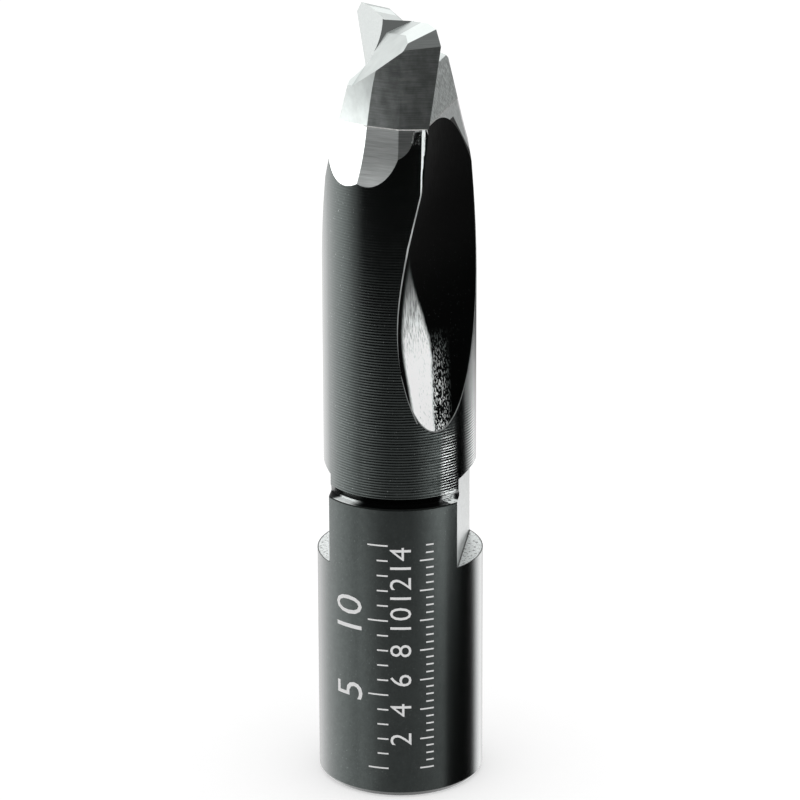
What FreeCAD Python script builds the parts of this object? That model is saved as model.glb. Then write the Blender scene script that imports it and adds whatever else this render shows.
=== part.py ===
import FreeCAD, Part
import math
import os

# Two-flute dowel drill bit, standing on its threaded end with the cutting tips up.
# Millimetres and degrees. Z is the drill axis, z = 0 is the seat at the lower end.
# An azimuth is counted from -Y towards +X, anticlockwise seen from the tips.
# The two wings are alike: each cut is made once and again half a turn round.

V = FreeCAD.Vector

# Shank
SHANK_RADIUS = 5.2
SHANK_TOP_Z = 19.4
SHANK_END_CHAMFER = 0.35
SHANK_TOP_CHAMFER = 0.06

# Two wrench flats, facing -X and +X
ACROSS_FLATS = 8.0
FLAT_SHELF_Z = 15.0
FLAT_END_Z = 20.6
FLAT_END_SLOPE = 31.0

# Relief groove between shank and body
NECK_WIDTH = 0.5
NECK_DEPTH = 0.16

# Fluted body
BODY_RADIUS = 4.755
JOINT_Z = 43.4

# Threaded hole for the machine spindle, drilled to the core diameter of M6
THREAD_CORE_RADIUS = 2.5
THREAD_MOUTH_RADIUS = 3.2
THREAD_DEPTH = 12.0
DRILL_POINT_ANGLE = 118.0

# Carbide head and the braze under it
CUTTING_RADIUS = 5.0
HEAD_HEIGHT = 6.5
BRAZE_THICKNESS = 0.08

# Milled flutes: a shallow round form on a helix that straightens out at the lower end
FLUTE_END_Z = 24.0
FLUTE_FLOOR_RADIUS = 2.95
FLUTE_FORM_RADIUS = 20.0
FLUTE_WHEEL_RADIUS = 52.0
FLUTE_AZIMUTH = 61.7
FLUTE_AZIMUTH_Z = 36.2
FLUTE_TWIST = 2.95
FLUTE_STRAIGHTEN_Z = 33.5
FLUTE_END_TWIST = 0.65
FLUTE_SECTION_STEP = 1.0

# Step under the flute's leading edge: a steep wall and a deeper floor, fading out downwards
STEP_WIDTH = 0.4
STEP_DEPTH = 0.55
STEP_MEETS_FLOOR = 1.2
STEP_FADE_LIFT = 0.95
STEP_TOP_AZIMUTH = 29.8
STEP_TWIST = 1.15

# Peripheral relief: three facets behind each cutting edge, from the edge to the heel.
# Each is (azimuth of its normal at the joint, distance from the axis, twist per millimetre).
RELIEF_FACETS = (
    (7.5, 4.637, 1.9),
    (-16.5, 4.237, 0.3),
    (-28.1, 4.189, 2.1),
)
RELIEF_WHEEL_RADIUS = 11.0
RELIEF_WHEEL_Z = 43.1
RELIEF_SECTION_STEP = 0.8

# Rake face: a plane that crosses the axis at RAKE_CROSS_Z
RAKE_AZIMUTH = 31.6
RAKE_TILT = 9.2
RAKE_CROSS_Z = 44.95

# Heel wall of the gullet: a ground plane, with a round gash in it beside the chisel edge
HEEL_AZIMUTH = 81.6
HEEL_TILT = 15.9
HEEL_DISTANCE = 2.78
GASH_RADIUS = 2.64
GASH_DEPTH = 0.62
GASH_Z = 47.7

# Strip ground along the flute's leading edge in the steel, just below the carbide
STRIP_AZIMUTH = 40.0
STRIP_TOP_EDGE_AZIMUTH = 24.6
STRIP_LOW_EDGE_AZIMUTH = 23.4
STRIP_LOW_EDGE_Z = 39.7
STRIP_END_Z = 38.6

# End faces of each wing: every plane is a point on it, the azimuth its normal leans to,
# and the lean from upright
TIP_RADIUS = 4.02
TIP_AZIMUTH = 41.7
TIP_Z = 49.28
OUTER_RELIEF_AZIMUTH = -48.3
OUTER_RELIEF_LEAN = 18.2
INNER_RELIEF_AZIMUTH = -82.7
INNER_RELIEF_LEAN = 21.7
RELIEF_BREAK_RADIUS = 2.8
CORNER_AZIMUTH = 12.5
CORNER_LEAN = 39.9
BEVEL_AZIMUTH = -67.7
BEVEL_LEAN = 43.8
BEVEL_RADIUS = 4.25
BEVEL_POINT_AZIMUTH = 15.2
BEVEL_Z = 48.66

# Chisel edge across the axis: the ridge between two gash walls, one facing each wing
CHISEL_Z = 48.98
CHISEL_WALL_AZIMUTH = -4.3
CHISEL_WALL_LEAN = 40.8

HALF_TURN = 180.0
REACH = 30.0
SLAB_THICKNESS = 4.0


def along(azimuth):
    """Horizontal unit vector at an azimuth."""
    a = math.radians(azimuth)
    return V(math.sin(a), -math.cos(a), 0)


def polar(radius, azimuth, z):
    """Point at a radius, an azimuth and a height."""
    return along(azimuth) * radius + V(0, 0, z)


def leaning(azimuth, lean):
    """Unit vector that leans from upright by an angle, towards an azimuth."""
    a = math.radians(lean)
    return along(azimuth) * math.sin(a) + V(0, 0, math.cos(a))


def half_space(point, normal):
    """Block whose one face lies on a plane and which reaches out along its normal."""
    block = Part.makeBox(REACH, REACH, REACH, V(-REACH / 2, -REACH / 2, 0))
    turn = FreeCAD.Rotation(V(0, 0, 1), normal)
    block.Placement = FreeCAD.Placement(point, turn)
    return block


def cut_away(shape, cuts):
    """The shape with each of the cuts taken off it in turn."""
    for cut in cuts:
        shape = shape.cut(cut)
    return shape


def both_wings(cut):
    """The cut and its copy half a turn round the axis."""
    twin = cut.copy()
    twin.rotate(V(0, 0, 0), V(0, 0, 1), HALF_TURN)
    return [cut, twin]


def heights(low, high, step):
    """Evenly spaced heights from low to high, at most a step apart."""
    count = math.ceil((high - low) / step)
    return [low + (high - low) * i / count for i in range(count + 1)]


def wheel_lift(z, wheel_z, wheel_radius):
    """How far a grinding wheel's rim has left the full depth below its axle's height."""
    fall = max(wheel_z - z, 0.0)
    return wheel_radius - math.sqrt(wheel_radius ** 2 - fall ** 2)


def flute_wheel_z():
    """Height of the wheel's axle where the flute stops, so that it runs out at its end."""
    depth = BODY_RADIUS - FLUTE_FLOOR_RADIUS
    run_out = math.sqrt(FLUTE_WHEEL_RADIUS ** 2 - (FLUTE_WHEEL_RADIUS - depth) ** 2)
    return FLUTE_END_Z + run_out


def flute_azimuth(z):
    """Azimuth of the flute's middle, whose twist fades out below the straightening height."""
    if z >= FLUTE_STRAIGHTEN_Z:
        return FLUTE_AZIMUTH + FLUTE_TWIST * (z - FLUTE_AZIMUTH_Z)
    start = FLUTE_AZIMUTH + FLUTE_TWIST * (FLUTE_STRAIGHTEN_Z - FLUTE_AZIMUTH_Z)
    fall = FLUTE_STRAIGHTEN_Z - z
    fade = (FLUTE_TWIST - FLUTE_END_TWIST) / (FLUTE_STRAIGHTEN_Z - FLUTE_END_Z)
    return start - FLUTE_TWIST * fall + fade * fall ** 2 / 2


def flute_section(z):
    """Outline of the flute at one height: the step's wall, an arc for the floor, a straight back."""
    centre = FLUTE_FLOOR_RADIUS + wheel_lift(z, flute_wheel_z(), FLUTE_WHEEL_RADIUS) + FLUTE_FORM_RADIUS
    edge_out = (BODY_RADIUS ** 2 + centre ** 2 - FLUTE_FORM_RADIUS ** 2) / (2 * centre)
    edge_side = math.sqrt(max(BODY_RADIUS ** 2 - edge_out ** 2, 0.0))
    out = along(flute_azimuth(z))
    side = V(-out.y, out.x, 0)

    def on_arc(width):
        return V(0, 0, z) + side * width + out * (centre - math.sqrt(FLUTE_FORM_RADIUS ** 2 - width ** 2))

    share = 1.0 - (centre - FLUTE_FORM_RADIUS - FLUTE_FLOOR_RADIUS) / STEP_FADE_LIFT
    corner = on_arc(-edge_side + 2 * min(share, 0.0))
    corner = corner + (side * STEP_WIDTH - out * STEP_DEPTH) * max(share, 0.0)
    if z > FLUTE_STRAIGHTEN_Z:
        edge_azimuth = flute_azimuth(z) - math.degrees(math.atan2(edge_side, edge_out))
        overrun = edge_azimuth - STEP_TOP_AZIMUTH - STEP_TWIST * (z - JOINT_Z)
        corner = corner - side * BODY_RADIUS * math.radians(max(overrun, 0.0))
    middle = on_arc(STEP_MEETS_FLOOR)
    heel = on_arc(SHANK_RADIUS + 1.0)
    top = corner - (side * STEP_WIDTH - out * STEP_DEPTH).normalize() * 2.0
    back = out * SLAB_THICKNESS
    edges = [
        Part.Arc(corner, middle, heel).toShape(),
        Part.LineSegment(heel, heel + back).toShape(),
        Part.LineSegment(heel + back, top + back).toShape(),
        Part.LineSegment(top + back, top).toShape(),
        Part.LineSegment(top, corner).toShape(),
    ]
    return Part.Wire(edges)


def flute_cut():
    """One milled flute, from below its run-out to above the tips."""
    low = FLUTE_END_Z - 2 * FLUTE_SECTION_STEP
    high = JOINT_Z + HEAD_HEIGHT + 1.0
    return Part.makeLoft([flute_section(z) for z in heights(low, high, FLUTE_SECTION_STEP)], True)


def relief_section(facet, z):
    """Rectangle outside one relief facet at one height."""
    azimuth, distance, twist = facet
    out = along(azimuth + twist * (z - JOINT_Z))
    side = V(-out.y, out.x, 0) * (CUTTING_RADIUS + 1.0)
    inner = out * (distance + wheel_lift(z, RELIEF_WHEEL_Z, RELIEF_WHEEL_RADIUS)) + V(0, 0, z)
    outer = inner + out * SLAB_THICKNESS
    return Part.makePolygon([inner - side, inner + side, outer + side, outer - side, inner - side])


def relief_cut(facet):
    """What is ground away outside one relief facet."""
    depth = BODY_RADIUS - facet[1]
    run_out = math.sqrt(RELIEF_WHEEL_RADIUS ** 2 - (RELIEF_WHEEL_RADIUS - depth) ** 2)
    low = RELIEF_WHEEL_Z - run_out - RELIEF_SECTION_STEP
    high = JOINT_Z + HEAD_HEIGHT + 1.0
    return Part.makeLoft([relief_section(facet, z) for z in heights(low, high, RELIEF_SECTION_STEP)], True)


def gullet_cut():
    """Ground gullet in front of one rake face: the wedge between rake face and heel wall."""
    rake_normal = along(RAKE_AZIMUTH + 90) * math.cos(math.radians(RAKE_TILT))
    rake_normal = rake_normal - V(0, 0, math.sin(math.radians(RAKE_TILT)))
    rake = half_space(V(0, 0, RAKE_CROSS_Z), rake_normal)
    wall_normal = leaning(HEEL_AZIMUTH, 90 - HEEL_TILT)
    wall = half_space(polar(HEEL_DISTANCE, HEEL_AZIMUTH, JOINT_Z), wall_normal)
    recede = math.tan(math.radians(HEEL_TILT))
    foot = polar(HEEL_DISTANCE - recede * (GASH_Z - JOINT_Z), HEEL_AZIMUTH, GASH_Z)
    centre = foot + wall_normal * (GASH_RADIUS - GASH_DEPTH)
    axis = along(HEEL_AZIMUTH + 90)
    gash = Part.makeCylinder(GASH_RADIUS, REACH, centre - axis * REACH / 2, axis)
    return [rake.common(wall), rake.common(gash)]


def strip_cut():
    """Narrow strip ground along the leading edge of the steel, below the joint."""
    top_edge = polar(BODY_RADIUS, STRIP_TOP_EDGE_AZIMUTH, JOINT_Z)
    low_edge = polar(BODY_RADIUS, STRIP_LOW_EDGE_AZIMUTH, STRIP_LOW_EDGE_Z)
    upward = top_edge - low_edge
    across = along(STRIP_AZIMUTH + 90)
    strip = half_space(low_edge, across.cross(upward).normalize())
    return strip.common(half_space(V(0, 0, STRIP_END_Z), leaning(STRIP_AZIMUTH, 25.0)))


def end_cut():
    """What is ground away above one wing: end relief, corner relief and heel bevel."""
    tip = polar(TIP_RADIUS, TIP_AZIMUTH, TIP_Z)
    bevel_point = polar(BEVEL_RADIUS, BEVEL_POINT_AZIMUTH, BEVEL_Z)
    relief_break = polar(RELIEF_BREAK_RADIUS, TIP_AZIMUTH, TIP_Z)
    above = [
        half_space(tip, leaning(OUTER_RELIEF_AZIMUTH, OUTER_RELIEF_LEAN)),
        half_space(relief_break, leaning(INNER_RELIEF_AZIMUTH, INNER_RELIEF_LEAN)),
        half_space(tip, leaning(CORNER_AZIMUTH, CORNER_LEAN)),
        half_space(bevel_point, leaning(BEVEL_AZIMUTH, BEVEL_LEAN)),
    ]
    chisel_wall = half_space(V(0, 0, CHISEL_Z), leaning(CHISEL_WALL_AZIMUTH, CHISEL_WALL_LEAN))
    return [block.common(chisel_wall) for block in above]


def profile_points():
    """Half profile of the turned blank, from the seat up to the top face, at the joint."""
    neck_top = SHANK_TOP_Z + NECK_WIDTH
    neck_radius = BODY_RADIUS - NECK_DEPTH
    return (
        [V(0, 0, 0), V(SHANK_RADIUS - SHANK_END_CHAMFER, 0, 0), V(SHANK_RADIUS, 0, SHANK_END_CHAMFER),
         V(SHANK_RADIUS, 0, SHANK_TOP_Z - SHANK_TOP_CHAMFER),
         V(SHANK_RADIUS - SHANK_TOP_CHAMFER, 0, SHANK_TOP_Z), V(neck_radius, 0, SHANK_TOP_Z)],
        V(neck_radius + NECK_DEPTH * 0.2, 0, SHANK_TOP_Z + NECK_WIDTH * 0.6),
        [V(BODY_RADIUS, 0, neck_top), V(BODY_RADIUS, 0, JOINT_Z), V(0, 0, JOINT_Z), V(0, 0, 0)],
    )


def turned_blank():
    """Shank, relief groove and body, turned from one bar."""
    lower, neck_middle, upper = profile_points()
    edges = [Part.LineSegment(a, b).toShape() for a, b in zip(lower, lower[1:])]
    edges.append(Part.Arc(lower[-1], neck_middle, upper[0]).toShape())
    edges += [Part.LineSegment(a, b).toShape() for a, b in zip(upper, upper[1:])]
    return Part.Face(Part.Wire(edges)).revolve(V(0, 0, 0), V(0, 0, 1), 360)


def flat_cut():
    """One wrench flat: a shelf below, the flat, and a sloping run-out above."""
    inner = ACROSS_FLATS / 2
    outer = SHANK_RADIUS + 1.0
    slope_top = FLAT_END_Z + (outer - inner) * math.tan(math.radians(FLAT_END_SLOPE))
    side = V(0, -REACH / 2, 0)
    corners = [V(inner, 0, FLAT_SHELF_Z), V(outer, 0, FLAT_SHELF_Z),
               V(outer, 0, slope_top), V(inner, 0, FLAT_END_Z), V(inner, 0, FLAT_SHELF_Z)]
    face = Part.Face(Part.makePolygon([corner + side for corner in corners]))
    return face.extrude(V(0, REACH, 0))


def spindle_hole():
    """Blind threaded hole in the lower end, with a countersunk mouth and a drill point."""
    mouth_depth = THREAD_MOUTH_RADIUS - THREAD_CORE_RADIUS
    point_depth = THREAD_CORE_RADIUS / math.tan(math.radians(DRILL_POINT_ANGLE / 2))
    mouth = Part.makeCone(THREAD_MOUTH_RADIUS, THREAD_CORE_RADIUS, mouth_depth)
    wall = Part.makeCylinder(THREAD_CORE_RADIUS, THREAD_DEPTH)
    point = Part.makeCone(THREAD_CORE_RADIUS, 0, point_depth, V(0, 0, THREAD_DEPTH))
    return mouth.fuse(wall).fuse(point)


def flute_cuts():
    """Both milled flutes."""
    return both_wings(flute_cut())


def ground_cuts():
    """All that is ground through steel, braze and carbide alike."""
    cuts = []
    for facet in RELIEF_FACETS:
        cuts += both_wings(relief_cut(facet))
    for cut in gullet_cut():
        cuts += both_wings(cut)
    return cuts


def steel_body():
    """Shank and fluted body, one piece of steel."""
    below_joint = Part.makeCylinder(SHANK_RADIUS + 1.0, JOINT_Z)
    strips = [cut.common(below_joint) for cut in both_wings(strip_cut())]
    body = cut_away(turned_blank(), both_wings(flat_cut()) + [spindle_hole()])
    return cut_away(body, flute_cuts() + strips + ground_cuts())


def braze_layer():
    """Thin brazed joint between the body and the head."""
    layer = Part.makeCylinder(BODY_RADIUS, BRAZE_THICKNESS, V(0, 0, JOINT_Z))
    return cut_away(layer, ground_cuts())


def carbide_head():
    """Two-wing carbide head, ground on all its outer faces."""
    seat_z = JOINT_Z + BRAZE_THICKNESS
    head = Part.makeCylinder(CUTTING_RADIUS, HEAD_HEIGHT, V(0, 0, seat_z))
    ends = []
    for block in end_cut():
        ends += both_wings(block)
    return cut_away(head, ground_cuts() + ends)


def main():
    os.makedirs("parts", exist_ok=True)
    for name, shape in (
        ("steel_body", steel_body()),
        ("braze_layer", braze_layer()),
        ("carbide_head", carbide_head()),
    ):
        shape = shape.removeSplitter()
        shape.exportStep("parts/" + name + ".step")
        box = shape.BoundBox
        print(name, "solids", len(shape.Solids), "faces", len(shape.Faces), "valid", shape.isValid(),
              "volume", round(shape.Volume, 3), "z", round(box.ZMin, 3), round(box.ZMax, 3))


main()
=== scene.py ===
import math

import bmesh
import bpy
from mathutils import Matrix, Quaternion, Vector


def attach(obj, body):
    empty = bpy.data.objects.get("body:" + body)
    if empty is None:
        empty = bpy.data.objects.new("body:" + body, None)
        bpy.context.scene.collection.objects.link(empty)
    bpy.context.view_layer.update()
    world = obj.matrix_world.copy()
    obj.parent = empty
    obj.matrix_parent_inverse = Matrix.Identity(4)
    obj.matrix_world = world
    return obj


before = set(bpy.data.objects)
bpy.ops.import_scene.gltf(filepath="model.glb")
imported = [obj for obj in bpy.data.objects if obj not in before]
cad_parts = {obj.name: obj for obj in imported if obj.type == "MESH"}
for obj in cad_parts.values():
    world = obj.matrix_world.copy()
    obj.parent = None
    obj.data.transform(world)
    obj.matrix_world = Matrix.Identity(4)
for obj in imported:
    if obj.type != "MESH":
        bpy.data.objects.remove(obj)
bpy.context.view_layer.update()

# Sizes of the CAD part that the finishes follow, in millimetres and degrees.
# Azimuths run from -Y towards +X. The two wings are half a turn apart.
MM = 0.001
SHANK_RADIUS = 5.2
SHANK_TOP_Z = 19.4
NECK_TOP_Z = 19.9
BODY_RADIUS = 4.755
JOINT_Z = 43.4
HALF_FLATS = 4.0
FLAT_SHELF_Z = 15.0
FLAT_END_Z = 20.6
FLAT_END_SLOPE = 31.0
FLUTE_END_Z = 24.0
FLUTE_STRAIGHTEN_Z = 33.5
FLUTE_AZIMUTH = 61.7
FLUTE_AZIMUTH_Z = 36.2
FLUTE_TWIST = 2.95
FLUTE_END_TWIST = 0.65
STRIP_AZIMUTH = 40.0
STRIP_INNER_RADIUS = 4.4

# Relief facets: azimuth at the joint, distance from the axis, twist in degrees a millimetre
RELIEF_FACETS = {
    "edge": (7.5, 4.637, 1.9),
    "middle": (-16.5, 4.237, 0.3),
    "heel": (-28.1, 4.189, 2.1),
}
RELIEF_WHEEL_RADIUS = 11.0
RELIEF_WHEEL_Z = 43.1
RELIEF_AZIMUTHS = (-62.0, 40.0)
RELIEF_ACROSS_AZIMUTH = 97.6
GROUND_LOW_Z = 38.0

# Heel wall: its plane, how far its normal points up, and where it is bare
HEEL_AZIMUTH = 81.6
HEEL_TILT = 15.9
HEEL_DISTANCE = 2.78
HEEL_UPWARD = (0.22, 0.33)
HEEL_BAND_Z = 42.75
HEEL_BARE_Z = 46.0
HEEL_BARE_FALL = 1.91

# End of the head. Small facets have the azimuth and elevation that they face
OUTER_RELIEF_AZIMUTH = -48.3
OUTER_RELIEF_TILT = 18.2
OUTER_RELIEF_MARGIN = 0.19
TIP_AZIMUTH = 41.7
TIP_RADIUS = 4.02
TIP_Z = 49.28
CORNER_FACET = (12.5, 50.1)
BEVEL_FACET = (-67.7, 46.2)
CHISEL_FACET = (-4.3, 49.2)
RAKE_UPWARD = (-0.25, -0.1)

# Azimuths in the middle of one wing or flute, which tell it from the other
FLUTE_SIDE = 50.0
RELIEF_SIDE = -13.0
END_SIDE = -10.0

# Painted highlights at the neck, the rings and the flute's edges, and grains of braze. Four azimuths
# fade in over the first two and out over the last two
GLARE_AZIMUTHS = (38.0, 44.0, 52.0, 57.0)
GLINT_AZIMUTHS = (-48.0, -43.0, -32.0, -20.0)
EDGE_HIGHLIGHT_HEIGHTS = (24.8, 40.2)
EDGE_HIGHLIGHT_TURN_Z = 36.0
EDGE_HIGHLIGHT_ASIDE = -3.47
RESIDUE_LOW_Z = 42.5
RESIDUE_AZIMUTHS = (15.0, 24.5)

# Camera, from the photograph
CAMERA_AZIMUTH = 7.6
CAMERA_ELEVATION = 19.6
CAMERA_DISTANCE = 260.0
CAMERA_TARGET_Z = 24.72
CAMERA_ASIDE = 0.02
CAMERA_LENS = 188.3
CAMERA_ROLL = -0.2

# Light tent round the part, and the floor
TENT_RADIUS = 150.0
TENT_LOW_Z = -130.0
TENT_TOP_Z = 60.0
FLOOR_REACH = 600.0
FLOOR_GREY = 0.61
FLOOR_GLOW = 0.45
WHITE = (1.0, 1.0, 1.0, 1.0)

# Finishes: base colours as linear grey, with the faint green of the blackening
BLACK_TINT = (0.92, 1.04, 1.01)
BARE_TINT = (0.97, 1.01, 1.0)
CARBIDE_TINT = (0.95, 1.01, 0.99)
BRAZE_TINT = (1.0, 1.0, 0.98)
MATT_BLACK = (0.003, 0.003, 0.003, 1.0)
SHANK_GREY = 0.038
BODY_GREY = 0.04
BARE_FROM_GREY = 0.12
TURNING_PITCH = 0.176

# Graduated scale etched on the shank
SCALE_LENGTH = 15
SCALE_LOW_Z = 2.0
SCALE_LIFT = 0.003
TICK_WIDTH = 0.1
WRAP_STEP = 0.15
DIGIT_SHARE = 0.7
STROKE_OFFSET = -0.012
ETCH_GREY = 0.8


def along(azimuth):
    """Horizontal unit vector at an azimuth."""
    a = math.radians(azimuth)
    return Vector((math.sin(a), -math.cos(a), 0.0))


def raised(azimuth, elevation):
    """Unit vector at an azimuth and an elevation above the horizon."""
    e = math.radians(elevation)
    return along(azimuth) * math.cos(e) + Vector((0, 0, math.sin(e)))


class Value:
    """A socket's value. Sums on it add their own Math nodes."""

    def __init__(self, shader, socket):
        self.shader = shader
        self.socket = socket

    def apply(self, operation, *others):
        """The result of a Math node that takes this value first."""
        return self.shader.maths(operation, self, *others)

    def at_least(self, other):
        return self.apply("MAXIMUM", other)

    def at_most(self, other):
        return self.apply("MINIMUM", other)

    def __add__(self, other):
        return self.apply("ADD", other)

    def __sub__(self, other):
        return self.apply("SUBTRACT", other)

    def __rsub__(self, other):
        return self.shader.maths("SUBTRACT", other, self)

    def __mul__(self, other):
        return self.apply("MULTIPLY", other)

    def __pow__(self, other):
        return self.apply("POWER", other)

    def __abs__(self):
        return self.apply("ABSOLUTE")

    def __lt__(self, other):
        return self.apply("LESS_THAN", other)

    def __gt__(self, other):
        return self.apply("GREATER_THAN", other)

    __radd__ = __add__
    __rmul__ = __mul__


class Shader:
    """A node tree, with one method that adds nodes."""

    def __init__(self, owner):
        owner.use_nodes = True
        self.tree = owner.node_tree
        self.tree.nodes.clear()

    def add(self, kind, settings=None, sockets=None, output=0):
        node = self.tree.nodes.new(kind)
        for name, setting in (settings or {}).items():
            setattr(node, name, setting)
        for name, value in (sockets or {}).items():
            if isinstance(value, Value):
                self.tree.links.new(value.socket, node.inputs[name])
            else:
                node.inputs[name].default_value = value
        return Value(self, node.outputs[output]) if node.outputs else None

    def maths(self, operation, *terms):
        return self.add("ShaderNodeMath", {"operation": operation}, dict(enumerate(terms)))

    def axes(self, vector):
        """A vector's x, y and z."""
        return [self.add("ShaderNodeSeparateXYZ", {}, {0: vector}, i) for i in range(3)]

    def ramp(self, value, low, high, at_low=0.0, at_high=1.0):
        """Eases from one number to another between two values."""
        sockets = {"Value": value, "From Min": low, "From Max": high}
        sockets.update({"To Min": at_low, "To Max": at_high})
        return self.add("ShaderNodeMapRange", {"interpolation_type": "SMOOTHSTEP"}, sockets)

    def window(self, value, rise, risen, fall, fallen):
        """Eases from 0 up to 1 and back down to 0."""
        return self.ramp(value, rise, risen) * self.ramp(value, fall, fallen, 1.0, 0.0)

    def blend(self, share, first, second):
        """One number where the share is 0, the other where it is 1."""
        return self.add("ShaderNodeMix", {"data_type": "FLOAT"}, {0: share, 2: first, 3: second})

    def blend_colour(self, share, first, second, way="MIX"):
        settings = {"data_type": "RGBA", "blend_type": way}
        return self.add("ShaderNodeMix", settings, {0: share, 6: first, 7: second}, 2)

    def grey(self, value, tint=(1.0, 1.0, 1.0)):
        """A colour of a brightness and a tint."""
        plain = self.add("ShaderNodeCombineColor", {}, {0: value, 1: value, 2: value})
        return self.blend_colour(1.0, plain, (*tint, 1.0), "MULTIPLY")


class Skin(Shader):
    """The shader of a surface, with each point's place in millimetres and the way it faces."""

    def __init__(self, material):
        super().__init__(material)
        point = self.add("ShaderNodeNewGeometry", output="Position")
        scaled = {0: point, "Scale": 1 / MM}
        self.place = self.add("ShaderNodeVectorMath", {"operation": "SCALE"}, scaled)
        self.x, self.y, self.z = self.axes(self.place)
        self.radius = (self.x * self.x + self.y * self.y) ** 0.5
        self.azimuth = azimuth_of(self.x, self.y)
        normal = self.add("ShaderNodeNewGeometry", output="True Normal")
        self.nx, self.ny, self.nz = self.axes(normal)

    def noise(self, stretch, detail=2.0, roughness=0.5):
        """Noise with so many grains a millimetre along x, y and z, about 0.5 on average."""
        scaled = {0: self.place, 1: stretch}
        scaled = self.add("ShaderNodeVectorMath", {"operation": "MULTIPLY"}, scaled)
        sockets = {"Vector": scaled, "Scale": 1.0, "Detail": detail, "Roughness": roughness}
        return self.add("ShaderNodeTexNoise", {}, sockets, "Fac")

    def surface(self, colour, roughness, metallic, height, depth, dull=None):
        """The finished surface, with fine relief of a real depth in millimetres.
        The dull share of it is matt black."""
        relief = {"Strength": 1.0, "Distance": depth * MM, "Height": height}
        sockets = {"Base Color": colour, "Roughness": roughness, "Metallic": metallic}
        sockets["Normal"] = self.add("ShaderNodeBump", {}, relief)
        metal = self.add("ShaderNodeBsdfPrincipled", {}, sockets)
        if dull is not None:
            matt = self.add("ShaderNodeBsdfDiffuse", {}, {"Color": MATT_BLACK})
            metal = self.add("ShaderNodeMixShader", {}, {0: dull, 1: metal, 2: matt})
        self.add("ShaderNodeOutputMaterial", {}, {"Surface": metal})


def near(value, wanted, limit=0.025):
    """1 where a value is close to a wanted one."""
    return abs(value - wanted) < limit


def between(value, low, high):
    """1 where a value lies between two numbers."""
    return (value > low) * (value < high)


def azimuth_of(x, y):
    """A point's azimuth, in degrees."""
    return x.apply("ARCTAN2", y * -1.0) * math.degrees(1.0)


def level_part(x, y, way):
    """How far x and y reach along a direction."""
    return x * way.x + y * way.y


def side_of_axis(skin, azimuth):
    """1 on the azimuth's side of the axis and -1 on the other."""
    return (level_part(skin.x, skin.y, along(azimuth)) > 0.0) * 2.0 - 1.0


def wing_azimuth(skin, middle):
    """A point's azimuth on one wing, or that of its like on the other wing."""
    side = side_of_axis(skin, middle)
    return azimuth_of(skin.x * side, skin.y * side)


def across_relief(skin):
    """How far a point is across the relief facets, towards the cutting edge."""
    across = level_part(skin.x, skin.y, along(RELIEF_ACROSS_AZIMUTH))
    return across * side_of_axis(skin, RELIEF_SIDE)


def across_flute(skin):
    """How far a point is to the right of its flute's middle."""
    down = (FLUTE_STRAIGHTEN_Z - skin.z).at_least(0.0)
    high = skin.z.at_least(FLUTE_STRAIGHTEN_Z)
    fade = (FLUTE_TWIST - FLUTE_END_TWIST) / (FLUTE_STRAIGHTEN_Z - FLUTE_END_Z)
    middle = (high - FLUTE_AZIMUTH_Z) * FLUTE_TWIST + FLUTE_AZIMUTH - down * FLUTE_TWIST
    middle = (middle + down * down * (fade / 2)) * math.radians(1.0)
    aside = skin.x * middle.apply("COSINE") + skin.y * middle.apply("SINE")
    return aside * side_of_axis(skin, FLUTE_SIDE)


def relief_masks(skin):
    """Masks of the three relief facets behind the cutting edges, on both wings."""
    side = side_of_axis(skin, RELIEF_SIDE)
    fall = (RELIEF_WHEEL_Z - skin.z).at_least(0.0)
    lift = RELIEF_WHEEL_RADIUS - (RELIEF_WHEEL_RADIUS ** 2 - fall * fall) ** 0.5
    proud = {}
    for name, (middle, distance, twist) in RELIEF_FACETS.items():
        turn = ((skin.z - JOINT_Z) * twist + middle) * math.radians(1.0)
        out = skin.x * turn.apply("SINE") - skin.y * turn.apply("COSINE")
        proud[name] = out * side - lift - distance
    past_edge = proud["edge"] > proud["middle"]
    past_heel = proud["heel"] > proud["middle"]
    ground = (skin.radius < BODY_RADIUS - 0.012) + (skin.z > JOINT_Z - 0.1) > 0.5
    ground = ground * (skin.z > GROUND_LOW_Z)
    ground = ground * between(wing_azimuth(skin, RELIEF_SIDE), *RELIEF_AZIMUTHS)
    return {
        "edge": (abs(proud["edge"]) < 0.4) * past_edge * ground,
        "middle": (abs(proud["middle"]) < 0.2) * (1.0 - past_edge) * (1.0 - past_heel) * ground,
        "heel": (abs(proud["heel"]) < 0.2) * past_heel * (1.0 - past_edge) * ground,
    }


def heel_wall_mask(skin):
    """Mask of the ground plane that is the gullet's heel wall, on both wings."""
    normal = raised(HEEL_AZIMUTH, HEEL_TILT)
    foot = along(HEEL_AZIMUTH) * HEEL_DISTANCE + Vector((0, 0, JOINT_Z))
    out = level_part(skin.x, skin.y, normal) * side_of_axis(skin, HEEL_AZIMUTH)
    on_plane = near(out + skin.z * normal.z, normal.dot(foot))
    return on_plane * (skin.z > GROUND_LOW_Z) * between(skin.nz, *HEEL_UPWARD)


def heel_reach(skin):
    """How far back a point is along the heel wall, on either wing."""
    back = level_part(skin.x, skin.y, along(HEEL_AZIMUTH + 90.0))
    return back * side_of_axis(skin, HEEL_AZIMUTH)


def strip_mask(skin):
    """Mask of the strip ground along each flute's leading edge, just below the carbide."""
    upright = abs(level_part(skin.nx, skin.ny, along(STRIP_AZIMUTH))) > 0.982
    upright = upright * (abs(skin.nz) < 0.2)
    return upright * (skin.z > GROUND_LOW_Z) * (skin.radius > STRIP_INNER_RADIUS)


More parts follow.
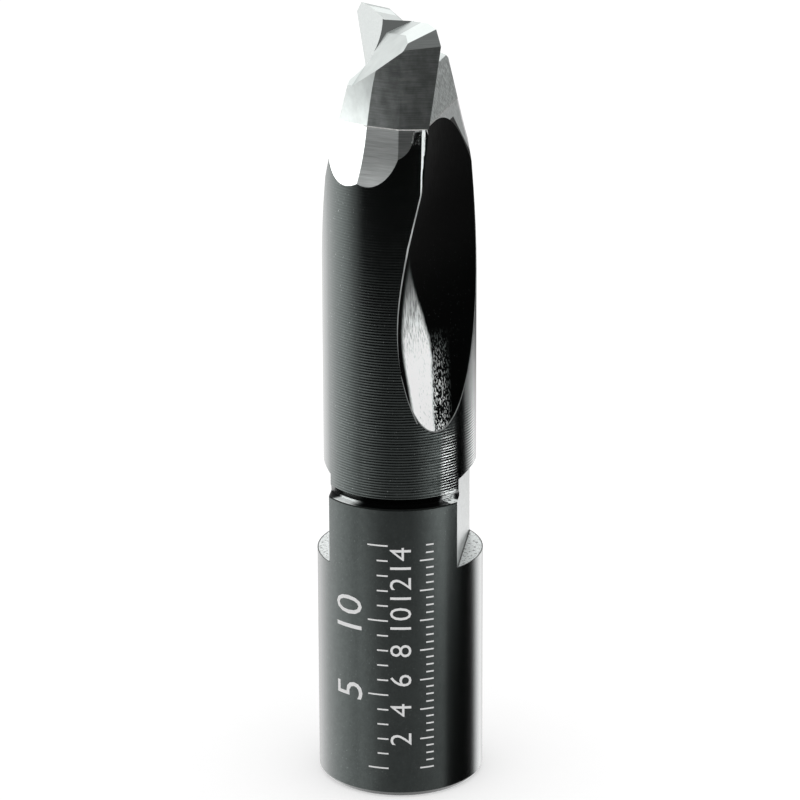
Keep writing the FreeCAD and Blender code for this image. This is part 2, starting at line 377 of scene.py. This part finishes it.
def wrench_flat_masks(skin):
    """Masks of the wrench flats, of the shelf below them, and of both with the slope above."""
    across = abs(skin.x)
    flat = near(across, HALF_FLATS) * (abs(skin.nx) > 0.99)
    flat = flat * between(skin.z, FLAT_SHELF_Z - 0.1, FLAT_END_Z + 0.05)
    shelf = near(skin.z, FLAT_SHELF_Z) * (skin.nz > 0.9) * (across > HALF_FLATS - 0.05)
    rise = math.tan(math.radians(FLAT_END_SLOPE))
    slope = near(skin.z - across * rise, FLAT_END_Z - HALF_FLATS * rise)
    slope = slope * (abs(skin.nz) > 0.6) * (across > HALF_FLATS)
    return flat, shelf, flat.at_least(shelf).at_least(slope)


def turning_rings(skin):
    """Height of the turned rings, from 0 to 1, and their depth, shallower towards the head."""
    wander = skin.noise((0.5, 0.5, 7.0), 2.0)
    phase = (skin.z + (wander - 0.5) * 0.06) * (2 * math.pi / TURNING_PITCH)
    rings = phase.apply("SINE") * 0.5 + 0.5
    chatter = skin.noise((0.9, 0.9, 2.6), 3.0, 0.6)
    depth = skin.ramp(skin.z, 24.0, 38.0, 1.3, 0.55) * (chatter * 1.4 + 0.3)
    return rings, depth * skin.ramp(skin.azimuth, -62.0, -32.0, 0.2, 1.0)


def turned_grey(skin, rings, depth, glare, speckle, specks):
    """Grey of the turned body. Its lowest rings carry a painted highlight at one place: bright
    crests, darker troughs.
    """
    grey = ((rings - 0.5) * depth * 0.7 + 1.0) * (speckle * 0.5 + 0.75) * BODY_GREY + specks
    # Painted highlight on the lowest rings
    glare = glare * skin.ramp(skin.z, 22.8, 24.6, 1.0, 0.0)
    crests = glare * skin.ramp(rings, 0.45, 0.75) * speckle
    return grey * (1.0 - glare * 0.6) + crests * 0.9


def milled_grey(skin, aside, grain, milling, speck, specks):
    """Grey of the milled flute: a painted reflection, a bright streak beside the step that fades
    towards the heel, with bright speckles below it; near black elsewhere.
    """
    border = skin.ramp(skin.z, 28.3, 37.0, -0.05, -2.65) + (grain - 0.5) * 0.25
    start = skin.ramp(skin.z, 24.0, 31.0, -1.42, -2.36)
    # Painted reflection of the light, as a bright streak beside the step
    painted_reflection = skin.ramp(border - aside, 0.0, 0.3) * skin.ramp(aside - start, -0.25, 0.1)
    painted_reflection = painted_reflection * skin.ramp(skin.z, 28.0, 35.0, 1.5, 0.06)
    lined = skin.ramp(skin.z, 26.0, 32.0, 0.25, 0.7)
    bright = painted_reflection * (skin.ramp(milling, 0.35, 0.6) * lined + 1.0 - lined)
    speckled = skin.ramp(speck, 0.52, 0.6) * skin.ramp(aside, 0.2, 1.2, 0.8, 0.0)
    speckled = speckled * skin.ramp(skin.z, 25.5, 30.5, 1.0, 0.0) * (aside > -1.2)
    return bright + speckled * (1.0 - painted_reflection) * 1.1 + specks * 0.35 + 0.0015


def ground_grey(skin, relief, heel_wall, strip, lines, grain, upright):
    """Grey of the ground facets, with fine grinding lines across them. Each facet's grey is partly
    its own grinding and partly painted light and shade, and the strip's outer part has a painted
    shine.
    """
    facets = relief["edge"] * 0.25 + relief["middle"] * 0.44 + relief["heel"] * 0.9
    bare_above = HEEL_BARE_Z - heel_reach(skin) * HEEL_BARE_FALL
    bare = (skin.z > bare_above) + (skin.z > HEEL_BAND_Z) > 0.5
    shine_radius = skin.ramp(skin.z, 39.0, 43.0, BODY_RADIUS - 0.015, BODY_RADIUS - 0.06)
    # Painted shine on the strip's outer part
    shine = skin.radius + (grain - 0.5) * 0.06 > shine_radius
    grey = facets * (lines + 0.5) + heel_wall * (upright * 0.7 + 0.25) * bare
    return grey + strip * (shine * 0.9 + 0.004)


def bare_grey(skin, shelf, speckle, upright):
    """Grey of the bare wrench flats and of their pitted shelf, with painted shade along its inner
    corner and the blackened chamfer dark at its rim.
    """
    pits = skin.noise((5.0, 5.0, 5.0), 3.0, 0.65)
    pitted = skin.ramp(pits, 0.37, 0.46, 0.3, 1.15)
    # Painted shade along the shelf's inner corner; the rim stays dark as the blackened chamfer
    within = skin.ramp(abs(skin.x), HALF_FLATS + 0.02, HALF_FLATS + 0.1)
    within = within * (skin.radius < SHANK_RADIUS - 0.07)
    shelf_grey = (speckle * 0.9 + upright * 0.4 + 0.1) * pitted * (within * 0.93 + 0.07)
    return skin.blend(shelf, (upright * 0.5 + 0.04) * (pitted * 0.3 + 0.7), shelf_grey)


def neck_glints(skin, glare, bare):
    """Mask of the two glints painted at the neck, painted highlights."""
    first = skin.window(skin.azimuth, *GLINT_AZIMUTHS) * (skin.z < SHANK_TOP_Z + 0.1)
    second = glare * skin.ramp(skin.noise((2.0, 2.0, 20.0), 2.0), 0.4, 0.5)
    at_neck = between(skin.z, SHANK_TOP_Z - 0.02, NECK_TOP_Z + 0.15)
    return (first + second) * at_neck * (1.0 - bare)


def worn_edges(skin, aside, flute):
    """Mask of the painted highlight line along the flute's leading edge and of the painted highlight
    on the flute's rim.
    """
    below = (EDGE_HIGHLIGHT_TURN_Z - skin.z).at_least(0.0)
    leading_edge = below * 0.05 + below * below * below * 0.00112 + EDGE_HIGHLIGHT_ASIDE
    line = near(aside, leading_edge - 0.02, 0.035) * (skin.radius > BODY_RADIUS - 0.03)
    line = line * between(skin.z, *EDGE_HIGHLIGHT_HEIGHTS)
    return line + skin.ramp(skin.radius, BODY_RADIUS - 0.05, BODY_RADIUS - 0.035) * flute


def braze_residue(skin, speck):
    """Grey of the grains of braze left on the body just below the joint."""
    patch = between(wing_azimuth(skin, FLUTE_SIDE), *RESIDUE_AZIMUTHS)
    patch = patch * between(skin.z, RESIDUE_LOW_Z, JOINT_Z)
    patch = patch * (skin.radius > BODY_RADIUS - 0.03)
    return patch * skin.ramp(speck, 0.48, 0.55, 0.0, 0.5)


def blackened_steel(material):
    """Turned and blackened bar with bright flats, milled flutes and ground facets."""
    skin = Skin(material)

    # Zones of the body, each 1 where it is
    relief = relief_masks(skin)
    heel_wall = heel_wall_mask(skin)
    flat, shelf, bare = wrench_flat_masks(skin)
    strip = strip_mask(skin)
    relief["edge"] = relief["edge"] * (1.0 - strip)
    ground = relief["edge"] + relief["middle"] + relief["heel"] + heel_wall + strip
    ground = ground.at_most(1.0)
    flute = (skin.radius < BODY_RADIUS - 0.02) * (skin.z > FLUTE_END_Z - 0.2) * (1.0 - ground)
    shank = (skin.z < SHANK_TOP_Z - 0.02) * (1.0 - flat) * (1.0 - shelf)
    neck = between(skin.z, SHANK_TOP_Z - 0.1, NECK_TOP_Z) * (1.0 - flat)
    turned = (1.0 - shank) * (1.0 - flute) * (1.0 - ground) * (1.0 - bare)
    # Azimuths where the lowest rings and the neck carry painted glare, a painted highlight
    glare = skin.window(skin.azimuth, *GLARE_AZIMUTHS)
    aside = across_flute(skin)
    glints = neck_glints(skin, glare, bare)
    # Painted highlights: pale lines along the flute's edges and glints at the neck
    painted_highlights = (worn_edges(skin, aside, flute) + glints).at_most(1.0)

    # Textures that several zones share
    speckle = skin.noise((9.0, 9.0, 9.0), 4.0, 0.7)
    specks = skin.ramp(skin.noise((13.0, 13.0, 13.0), 1.0), 0.71, 0.79, 0.0, 0.13)
    speck = skin.noise((13.0, 13.0, 4.0), 2.0)
    grain = skin.noise((6.0, 6.0, 0.7), 3.0, 0.6)
    milling = skin.noise((16.0, 16.0, 0.8), 3.0, 0.65)
    lines = skin.noise((0.6, 0.6, 16.0), 3.0, 0.6)
    upright = skin.noise((12.0, 12.0, 1.2), 3.0, 0.6)
    smear = skin.noise((2.0, 2.0, 2.0), 4.0, 0.6)
    rings, depth = turning_rings(skin)

    # Greys. A zone further down the list lies over the ones before it
    shank_grey = (smear * 0.4 + speckle * 0.8 + 0.4) * SHANK_GREY + specks * 0.6
    facet_grey = ground_grey(skin, relief, heel_wall, strip, lines, grain, upright)
    # Grey of the painted highlights, brighter towards the head
    painted_highlight_grey = grain * skin.ramp(skin.z, 28.0, 38.0, 0.35, 0.9) + glints * 0.75
    grey = turned_grey(skin, rings, depth, glare, speckle, specks)
    grey = skin.blend(shank, grey, shank_grey)
    # The neck groove is painted near black, darker than the body: painted shade in the groove
    grey = skin.blend(neck, grey, speckle * 0.02)
    grey = skin.blend(flute, grey, milled_grey(skin, aside, grain, milling, speck, specks))
    grey = skin.blend(ground, grey, facet_grey)
    grey = skin.blend(painted_highlights, grey, painted_highlight_grey) + braze_residue(skin, speck)
    grey = skin.blend(bare, grey, bare_grey(skin, shelf, speckle, upright))
    blackened, bright = skin.grey(grey, BLACK_TINT), skin.grey(grey, BARE_TINT)
    colour = skin.blend_colour(grey > BARE_FROM_GREY, blackened, bright)

    rough = skin.blend(shank, 0.17, 0.22)
    rough = skin.blend(neck, rough, 0.35)
    rough = skin.blend(flute, rough, skin.ramp(skin.z, 31.0, 37.0, 0.28, 0.5))
    rough = skin.blend(ground, rough, 0.34)
    rough = skin.blend(bare, rough, 0.38)

    height = turned * rings * depth * 1.9 + ground * lines + flute * milling * 1.5
    height = height + shank * speckle * 0.8 + bare * upright
    dull = flute * skin.ramp(skin.z, 33.5, 38.0, 0.0, 0.75) * (upright * 0.5 + 0.75)
    skin.surface(colour, rough, 1.0 - painted_highlights, height, 0.0016, dull)


def facing_mask(skin, azimuth, elevation):
    """Mask of a ground facet, by the way it faces, on both wings."""
    way = raised(azimuth, elevation)
    level = level_part(skin.nx, skin.ny, way)
    return (skin.nz * way.z + level > 0.995) + (skin.nz * way.z - level > 0.995)


def outer_relief_mask(skin):
    """Mask of the outer relief: what lies close under its plane through the tip, on both wings."""
    way = raised(OUTER_RELIEF_AZIMUTH, 90.0 - OUTER_RELIEF_TILT)
    tip = along(TIP_AZIMUTH) * TIP_RADIUS + Vector((0, 0, TIP_Z))
    level = level_part(skin.x, skin.y, way) * side_of_axis(skin, END_SIDE)
    return level + skin.z * way.z > way.dot(tip) - OUTER_RELIEF_MARGIN


def ground_carbide(material):
    """Ground carbide: every facet with its own grinding lines, and a grey that is partly its own
    grinding and partly painted light and shade.
    """
    skin = Skin(material)
    lines = skin.noise((0.5, 0.5, 18.0), 3.0, 0.65)
    smear = skin.noise((1.2, 1.2, 0.8), 3.0, 0.5)
    pits = skin.noise((10.0, 10.0, 10.0), 2.0, 0.5)
    patches = skin.noise((1.6, 1.6, 1.1), 4.0, 0.65)
    scratches = skin.noise((13.0, 13.0, 0.5), 3.0, 0.6)

    # Relief facets on the wings' sides
    relief = relief_masks(skin)
    aside = across_relief(skin)
    # Greys that ease across the relief facets are painted shade
    edge_grey = (smear * 0.2 + 0.12) * skin.ramp(aside, 0.0, 0.9, 1.2, 1.0)
    middle_grey = (smear * 0.2 + 0.11) * skin.ramp(aside, -1.5, 0.1, 1.2, 0.74)
    side_grey = relief["edge"] * edge_grey + relief["middle"] * middle_grey
    side_grey = side_grey * (lines * 1.1 + 0.45) * (patches * 0.9 + 0.55)
    side_grey = side_grey + relief["heel"] * (patches * 0.3 + 0.42)

    # Each facet's mask and grey, partly painted light and shade. A facet further down the list lies
    # over the ones before it
    end = skin.nz > 0.9
    facets = (
        (relief["edge"] + relief["middle"] + relief["heel"], side_grey),
        (heel_wall_mask(skin), skin.ramp(scratches, 0.32, 0.68, 0.25, 0.72)),
        (end, smear * 0.1 + 0.67),
        (outer_relief_mask(skin) * end, 0.97),
        (facing_mask(skin, *CORNER_FACET), lines * 0.1 + 0.1),
        (facing_mask(skin, *BEVEL_FACET), smear * 0.2 + 0.58),
        (facing_mask(skin, *CHISEL_FACET), skin.ramp(skin.radius, 1.9, 3.2, 0.12, 0.85)),
        (between(skin.nz, *RAKE_UPWARD), pits * 0.1 + 0.16),
    )
    grey = smear * 0.5 + 0.5
    for mask, facet_grey in facets:
        grey = skin.blend(mask, grey, facet_grey)
    height = lines * 0.7 + pits * 0.6
    skin.surface(skin.grey(grey, CARBIDE_TINT), 0.33, 1.0, height, 0.0014)


def braze_metal(material):
    """Thin line of braze, bright behind the cutting edge and dull where it was ground over."""
    skin = Skin(material)
    grain = skin.noise((6.0, 6.0, 6.0), 3.0, 0.6)
    aside = across_relief(skin)
    level = skin.ramp(aside, -2.3, -2.0, 0.95, 0.1) + skin.ramp(aside, -0.3, 0.0) * 0.25
    on_heel_wall = abs(level_part(skin.nx, skin.ny, along(HEEL_AZIMUTH))) > 0.9
    level = skin.blend(on_heel_wall, level, 0.12)
    skin.surface(skin.grey(grain * 0.6 + level, BRAZE_TINT), 0.55, 1.0, grain, 0.004)


def etched(material):
    """Pale etched mark of a slightly uneven colour."""
    skin = Skin(material)
    grain = skin.noise((14.0, 14.0, 14.0), 3.0, 0.7)
    skin.surface(skin.grey(grain * 0.3 + ETCH_GREY - 0.15), 0.7, 0.0, grain, 0.003)


def wrap_on_shank(mesh, azimuth):
    """Bends a flat mesh, in millimetres, round the shank: its x runs up, its y round to the left."""
    edit = bmesh.new()
    edit.from_mesh(mesh)
    low = min(v.co.y for v in edit.verts)
    high = max(v.co.y for v in edit.verts)
    cuts = int((high - low) / WRAP_STEP)
    for i in range(1, cuts + 1):
        every = edit.verts[:] + edit.edges[:] + edit.faces[:]
        level = low + (high - low) * i / (cuts + 1)
        bmesh.ops.bisect_plane(edit, geom=every, plane_co=(0, level, 0), plane_no=(0, 1, 0))
    radius = SHANK_RADIUS + SCALE_LIFT
    for v in edit.verts:
        place = along(azimuth - math.degrees(v.co.y / SHANK_RADIUS)) * radius
        v.co = (place + Vector((0, 0, SCALE_LOW_Z + v.co.x))) * MM
    edit.normal_update()
    edit.to_mesh(mesh)
    edit.free()


def flat_bar(edit, x, y, width, length):
    """Adds a bar to a flat mesh, from (x, y) to the left, of a width along the shank."""
    low, high = x - width / 2, x + width / 2
    corners = [(low, y), (high, y), (high, y + length), (low, y + length)]
    edit.faces.new([edit.verts.new((u, v, 0)) for u, v in corners])


def shank_piece(name, edit, azimuth, material):
    """Wraps a finished flat mesh on the shank and makes it a piece of the part."""
    mesh = bpy.data.meshes.new(name)
    edit.to_mesh(mesh)
    edit.free()
    wrap_on_shank(mesh, azimuth)
    piece = bpy.data.objects.new(name, mesh)
    bpy.context.collection.objects.link(piece)
    mesh.materials.append(material)
    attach(piece, "root")


def tick_row(name, material, azimuth, step, long_every, short, long):
    """A row of ticks up the shank."""
    edit = bmesh.new()
    for i in range(int(SCALE_LENGTH / step) + 1):
        flat_bar(edit, i * step, 0.0, TICK_WIDTH, long if i % long_every == 0 else short)
    shank_piece(name, edit, azimuth, material)


def numerals(name, material, azimuth, height, numbers):
    """Numerals that read up the shank, each beside its own height on the scale."""
    edit = bmesh.new()
    for number in numbers:
        text = bpy.data.curves.new(name, "FONT")
        text.body = str(number)
        text.size = height / DIGIT_SHARE
        text.align_x = "CENTER"
        text.resolution_u = 3
        text.offset = STROKE_OFFSET
        shape = bpy.data.objects.new(name, text)
        bpy.context.collection.objects.link(shape)
        bpy.context.view_layer.update()
        drawn = shape.evaluated_get(bpy.context.evaluated_depsgraph_get())
        flat = bpy.data.meshes.new_from_object(drawn)
        flat.transform(Matrix.Translation((number, 0, 0)))
        edit.from_mesh(flat)
        bpy.data.objects.remove(shape)
        bpy.data.meshes.remove(flat)
    bmesh.ops.triangulate(edit, faces=edit.faces[:])
    shank_piece(name, edit, azimuth, material)


def etched_scale():
    """Graduated scale up the shank: two rows of ticks and their numerals."""
    material = bpy.data.materials.new("etched")
    etched(material)
    fine = {"azimuth": 31.0, "step": 0.5, "long_every": 4, "short": 0.5, "long": 0.9}
    coarse = {"azimuth": -1.0, "step": 1.0, "long_every": 5, "short": 0.7, "long": 1.3}
    every_second, every_fifth = range(2, SCALE_LENGTH, 2), range(5, SCALE_LENGTH, 5)
    tick_row("scale_fine_ticks", material, **fine)
    tick_row("scale_coarse_ticks", material, **coarse)
    numerals("scale_numerals", material, azimuth=15.0, height=1.35, numbers=every_second)
    numerals("scale_large_numerals", material, azimuth=-20.0, height=2.0, numbers=every_fifth)


def build_camera():
    """Camera at the photograph's place, with its slight roll."""
    data = bpy.data.cameras.new("camera")
    data.sensor_width = 36.0
    data.lens = CAMERA_LENS
    data.clip_start = 0.01
    data.clip_end = 10.0
    camera = bpy.data.objects.new("camera", data)
    bpy.context.collection.objects.link(camera)
    back = raised(CAMERA_AZIMUTH, CAMERA_ELEVATION)
    aside = along(CAMERA_AZIMUTH + 90) * CAMERA_ASIDE
    target = Vector((0, 0, CAMERA_TARGET_Z)) + aside
    camera.location = (target + back * CAMERA_DISTANCE) * MM
    camera.rotation_mode = "QUATERNION"
    roll = Quaternion((0, 0, 1), math.radians(CAMERA_ROLL))
    camera.rotation_quaternion = (-back).to_track_quat("-Z", "Y") @ roll
    bpy.context.scene.camera = camera


def tent_light(skin):
    """Strength of the screen's light: bright at the sides, dim in front, with a dark band
    to the right of the camera. Its azimuths run to the right from the camera's."""
    height = skin.z
    ahead = level_part(skin.x, skin.y, along(CAMERA_AZIMUTH))
    right = level_part(skin.x, skin.y, along(CAMERA_AZIMUTH + 90))
    azimuth = right.apply("ARCTAN2", ahead) * math.degrees(1.0)
    high = skin.ramp(height, -34.0, -18.0)
    low = 1.0 - high
    front = high * -0.88 + 0.9

    left = skin.ramp(azimuth, high * -38.0 - 12.0, -99.0, 0.0, 4.0)
    left = left * skin.ramp(azimuth, -180.0, -105.0, 0.25, 1.0)
    left = left * skin.ramp(height, -44.0, -34.0, 0.87, 1.0)

    strip = skin.window(height, -46.0, -36.0, -31.0, -22.0)
    rise = skin.ramp(azimuth, 12.0, 78.0) * (strip * 7.6 + 0.5) * low
    band = skin.ramp(height, -38.0, -28.0, 65.0, 92.0)
    before_band = (front + rise) * skin.ramp(azimuth, band - 5.0, band + 5.0, 1.0, 0.0)
    past_band = azimuth - skin.ramp(height, -45.0, -34.0, 9.0, 0.0)
    past_band = skin.ramp(past_band, 110.0, 124.0) * (low * 3.0 + 0.4)
    past_band = past_band * skin.ramp(azimuth, 142.0, 166.0, 1.0, 0.3)
    panel = skin.ramp(height, -10.0, -4.0) * between(azimuth, 50.0, 118.0) * 0.8
    on_left = front * (azimuth > -60.0) + left
    return skin.blend(azimuth < 0.0, before_band + past_band + panel, on_left)


def light_tent():
    """Curved screen round the part that only its metal mirrors."""
    mesh = bpy.data.meshes.new("light_tent")
    edit = bmesh.new()
    steps = 120
    rings = []
    for z in (TENT_LOW_Z, TENT_TOP_Z):
        places = [along(360 * i / steps) * TENT_RADIUS + Vector((0, 0, z)) for i in range(steps)]
        rings.append([edit.verts.new(place * MM) for place in places])
    for i in range(steps):
        j = (i + 1) % steps
        edit.faces.new((rings[0][i], rings[0][j], rings[1][j], rings[1][i]))
    edit.to_mesh(mesh)
    edit.free()
    tent = bpy.data.objects.new("light_tent", mesh)
    bpy.context.collection.objects.link(tent)
    for ray in ("camera", "diffuse", "transmission", "shadow", "volume_scatter"):
        setattr(tent, "visible_" + ray, False)

    material = bpy.data.materials.new("light_tent")
    material.cycles.emission_sampling = "NONE"
    skin = Skin(material)
    glow = skin.add("ShaderNodeEmission", {}, {"Color": WHITE, "Strength": tent_light(skin)})
    skin.add("ShaderNodeOutputMaterial", {}, {"Surface": glow})
    mesh.materials.append(material)


def build_world():
    """Even white surroundings, the same to the eye, in metal and as light."""
    world = bpy.data.worlds.new("surroundings")
    world.cycles.sampling_method = "NONE"
    bpy.context.scene.world = world
    shader = Shader(world)
    white = shader.add("ShaderNodeBackground", {}, {"Color": WHITE, "Strength": 1.0})
    shader.add("ShaderNodeOutputWorld", {}, {"Surface": white})


def build_floor():
    """Plain pale floor that stays white to the camera apart from the part's soft shadow."""
    mesh = bpy.data.meshes.new("floor")
    reach = FLOOR_REACH * MM
    corners = [(-reach, -reach, 0), (reach, -reach, 0), (reach, reach, 0), (-reach, reach, 0)]
    mesh.from_pydata(corners, [], [(0, 1, 2, 3)])
    floor = bpy.data.objects.new("floor", mesh)
    bpy.context.collection.objects.link(floor)
    material = bpy.data.materials.new("floor")
    skin = Skin(material)
    colour = skin.grey(skin.noise((0.4, 0.4, 0.4), 3.0) * 0.02 + FLOOR_GREY)
    seen = skin.add("ShaderNodeLightPath", output="Is Camera Ray")
    glossy = skin.add("ShaderNodeLightPath", output="Is Glossy Ray")
    paper = skin.add("ShaderNodeBsdfDiffuse", {}, {"Color": colour})
    strength = (seen + glossy) * FLOOR_GLOW
    glow = skin.add("ShaderNodeEmission", {}, {"Color": WHITE, "Strength": strength})
    both = skin.add("ShaderNodeAddShader", {}, {0: paper, 1: glow})
    skin.add("ShaderNodeOutputMaterial", {}, {"Surface": both})
    mesh.materials.append(material)
    floor.visible_glossy = False


FINISHES = {"steel_body": blackened_steel, "braze_layer": braze_metal, "carbide_head": ground_carbide}
for node, finish in FINISHES.items():
    material = bpy.data.materials.new(finish.__name__)
    finish(material)
    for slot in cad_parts[node].material_slots:
        slot.material = material

etched_scale()
build_camera()
build_world()
build_floor()
light_tent()

scene = bpy.context.scene
scene.view_settings.view_transform = "Standard"
